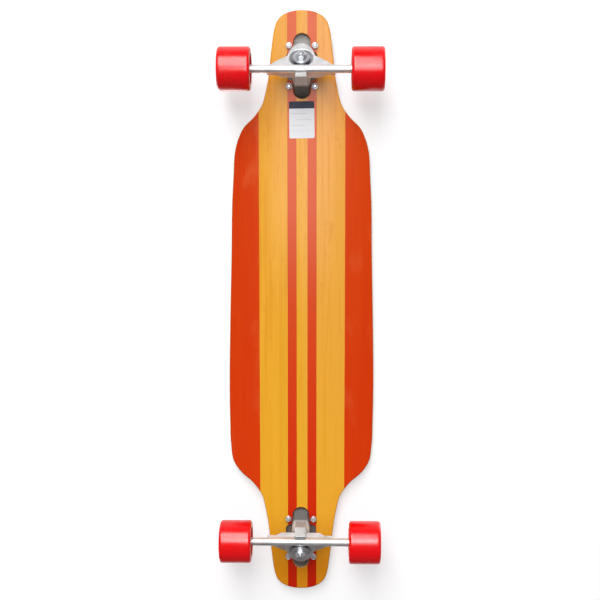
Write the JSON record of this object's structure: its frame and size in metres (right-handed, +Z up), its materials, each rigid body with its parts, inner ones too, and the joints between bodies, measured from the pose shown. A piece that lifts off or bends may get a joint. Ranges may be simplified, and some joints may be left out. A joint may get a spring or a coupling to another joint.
{
  "type": "longboard skateboard",
  "caption": "Drop-through longboard skateboard: flat maple deck with cut-away wheel bays, reverse-kingpin trucks that steer on bushings, and free-turning urethane wheels.",
  "frame": {"origin": "on the ground, under the middle of the deck's length and width", "axes": "+Z up, +Y towards the nose, +X to the right of a rider who faces the nose"},
  "size_m": [0.257, 0.94, 0.1087],
  "materials": {
    "maple": "stained maple veneer under clear gloss",
    "grip": "coarse black grit",
    "paper": null,
    "cast_truck": "tumbled and polished cast aluminium",
    "black_urethane": "moulded urethane",
    "red_urethane": "moulded urethane",
    "steel": "ground steel",
    "zinc": "bright zinc plate",
    "shield": "pressed steel",
    "bearing_steel": "polished bearing steel",
    "spacer": "turned aluminium",
    "wheel_urethane": "cast red urethane, satin",
    "wheel_core": "moulded nylon"
  },
  "bodies": {
    "deck_body": {"deck": "maple", "grip_tape": "grip", "price_label": "paper", "front_baseplate": "cast_truck", "front_pivot_cup": "black_urethane", "front_kingpin": "steel", "front_boardside_bushing": "red_urethane", "front_roadside_bushing": "red_urethane", "front_boardside_washer": "zinc", "front_roadside_washer": "zinc", "front_kingpin_nut": "zinc", "front_mounting_bolts": "zinc", "front_mounting_nuts": "zinc", "rear_baseplate": "cast_truck", "rear_pivot_cup": "black_urethane", "rear_kingpin": "steel", "rear_boardside_bushing": "red_urethane", "rear_roadside_bushing": "red_urethane", "rear_boardside_washer": "zinc", "rear_roadside_washer": "zinc", "rear_kingpin_nut": "zinc", "rear_mounting_bolts": "zinc", "rear_mounting_nuts": "zinc"},
    "front_hanger_body": {"front_hanger": "cast_truck", "front_axle": "steel", "front_axle_nuts": "zinc", "front_speed_washers": "zinc", "front_left_bearing_inner_rings": "bearing_steel", "front_left_spacer": "spacer", "front_right_bearing_inner_rings": "bearing_steel", "front_right_spacer": "spacer"},
    "front_left_wheel": {"front_left_tyre": "wheel_urethane", "front_left_wheel_core": "wheel_core", "front_left_bearing_outer_rings": "bearing_steel", "front_left_bearing_balls": "bearing_steel", "front_left_bearing_shields": "shield"},
    "front_right_wheel": {"front_right_tyre": "wheel_urethane", "front_right_wheel_core": "wheel_core", "front_right_bearing_outer_rings": "bearing_steel", "front_right_bearing_balls": "bearing_steel", "front_right_bearing_shields": "shield"},
    "rear_hanger_body": {"rear_hanger": "cast_truck", "rear_axle": "steel", "rear_axle_nuts": "zinc", "rear_speed_washers": "zinc", "rear_left_bearing_inner_rings": "bearing_steel", "rear_left_spacer": "spacer", "rear_right_bearing_inner_rings": "bearing_steel", "rear_right_spacer": "spacer"},
    "rear_left_wheel": {"rear_left_tyre": "wheel_urethane", "rear_left_wheel_core": "wheel_core", "rear_left_bearing_outer_rings": "bearing_steel", "rear_left_bearing_balls": "bearing_steel", "rear_left_bearing_shields": "shield"},
    "rear_right_wheel": {"rear_right_tyre": "wheel_urethane", "rear_right_wheel_core": "wheel_core", "rear_right_bearing_outer_rings": "bearing_steel", "rear_right_bearing_balls": "bearing_steel", "rear_right_bearing_shields": "shield"}
  },
  "joints": [
    {"name": "front_steer", "type": "hinge", "parent": "deck_body", "child": "front_hanger_body", "pos_m": [0, 0.38318, 0.05298], "axis": [0, 0.766, 0.6428], "range_deg": [-15, 15], "stiffness_Nm_per_rad": 25, "deforming": ["front_boardside_bushing", "front_roadside_bushing"]},
    {"name": "front_left_spin", "type": "hinge", "parent": "front_hanger_body", "child": "front_left_wheel", "pos_m": [-0.103, 0.373, 0.034], "axis": [1, 0, 0], "continuous": true},
    {"name": "front_right_spin", "type": "hinge", "parent": "front_hanger_body", "child": "front_right_wheel", "pos_m": [0.103, 0.373, 0.034], "axis": [1, 0, 0], "continuous": true},
    {"name": "rear_steer", "type": "hinge", "parent": "deck_body", "child": "rear_hanger_body", "pos_m": [0, -0.38318, 0.05298], "axis": [0, -0.766, 0.6428], "range_deg": [-15, 15], "stiffness_Nm_per_rad": 25, "deforming": ["rear_boardside_bushing", "rear_roadside_bushing"]},
    {"name": "rear_left_spin", "type": "hinge", "parent": "rear_hanger_body", "child": "rear_left_wheel", "pos_m": [-0.103, -0.373, 0.034], "axis": [1, 0, 0], "continuous": true},
    {"name": "rear_right_spin", "type": "hinge", "parent": "rear_hanger_body", "child": "rear_right_wheel", "pos_m": [0.103, -0.373, 0.034], "axis": [1, 0, 0], "continuous": true}
  ]
}
